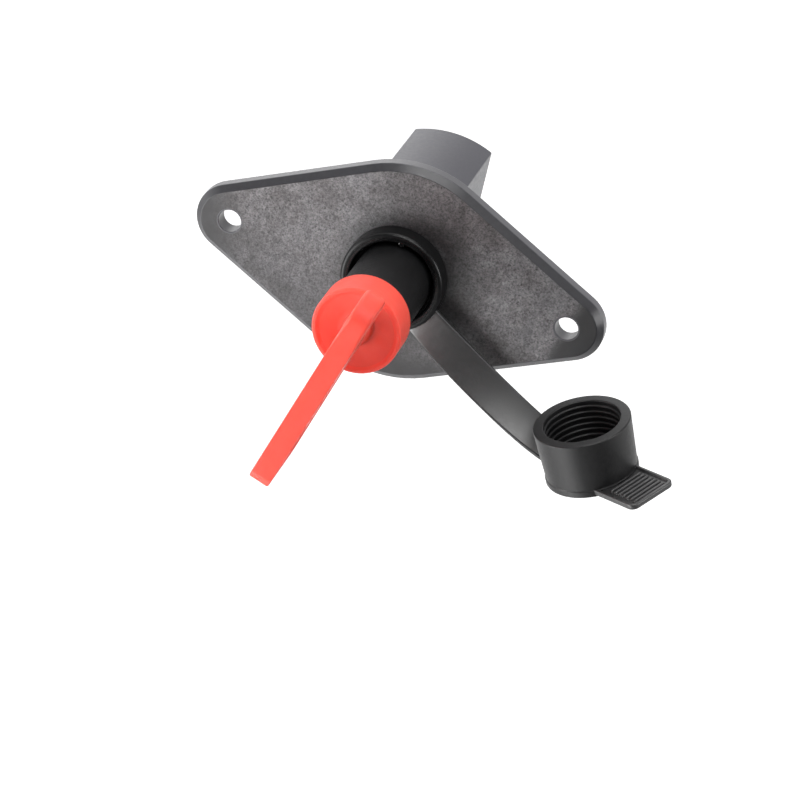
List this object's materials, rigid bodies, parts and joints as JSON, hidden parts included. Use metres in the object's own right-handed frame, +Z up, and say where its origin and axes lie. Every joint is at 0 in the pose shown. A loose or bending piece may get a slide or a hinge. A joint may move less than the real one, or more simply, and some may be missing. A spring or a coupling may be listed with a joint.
{
  "type": "battery disconnect switch",
  "caption": "Panel battery disconnect switch with a removable red key, a tethered sealing cap and stud terminals behind.",
  "frame": {"origin": "centre of the flange's back face, on the key axis", "axes": "+X along the flange toward the side of the sealing cap, -Y out of the panel toward the user, +Z up"},
  "size_m": [0.1705, 0.1442, 0.0808],
  "materials": {
    "housing_black": "grained black moulding",
    "base_grey": "matte grey moulding",
    "zinc_steel": "bright zinc plate",
    "spring_steel": "drawn wire",
    "copper_alloy": "machined copper alloy",
    "rotor_white": "natural acetal",
    "carriage_brown": "moulded phenolic",
    "seal_rubber": "smooth rubber",
    "cap_rubber": "soft grey-black rubber",
    "key_red": "satin signal red"
  },
  "bodies": {
    "housing": {"housing": "housing_black", "base": "base_grey", "base_screw_upper": "zinc_steel", "base_screw_lower": "zinc_steel", "stud_upper": "copper_alloy", "stud_lower": "copper_alloy", "flat_washer_upper": "zinc_steel", "flat_washer_lower": "zinc_steel", "clamp_nut_upper": "zinc_steel", "clamp_nut_lower": "zinc_steel", "spring_washer_upper": "spring_steel", "spring_washer_lower": "spring_steel", "terminal_nut_upper": "zinc_steel", "terminal_nut_lower": "zinc_steel", "return_spring": "spring_steel"},
    "rotor": {"rotor": "rotor_white", "rotor_seal": "seal_rubber"},
    "key": {"key": "key_red", "key_pin": "zinc_steel"},
    "carriage": {"contact_carriage": "carriage_brown", "contact_bridge": "copper_alloy", "bridge_clip": "spring_steel", "contact_spring": "spring_steel"},
    "sealing_cap": {"sealing_cap": "cap_rubber"}
  },
  "joints": [
    {"name": "key_turn", "type": "hinge", "parent": "housing", "child": "rotor", "pos_m": [0, 0, 0], "axis": [0, 1, 0], "range_deg": [0, 90]},
    {"name": "key_pull", "type": "slide", "parent": "rotor", "child": "key", "axis": [0, -1, 0], "range_m": [0, 0.03]},
    {"name": "contact_travel", "type": "slide", "parent": "housing", "child": "carriage", "axis": [0, 1, 0], "range_m": [0, 0.004], "deforming": ["return_spring"]},
    {"name": "cap_swivel", "type": "hinge", "parent": "housing", "child": "sealing_cap", "pos_m": [0, -0.009, 0], "axis": [0, -1, 0], "range_deg": [-65, 25]}
  ],
  "couplings": [
    {"joint": "contact_travel", "follows": "key_turn", "m_per_rad": 0.002546}
  ]
}
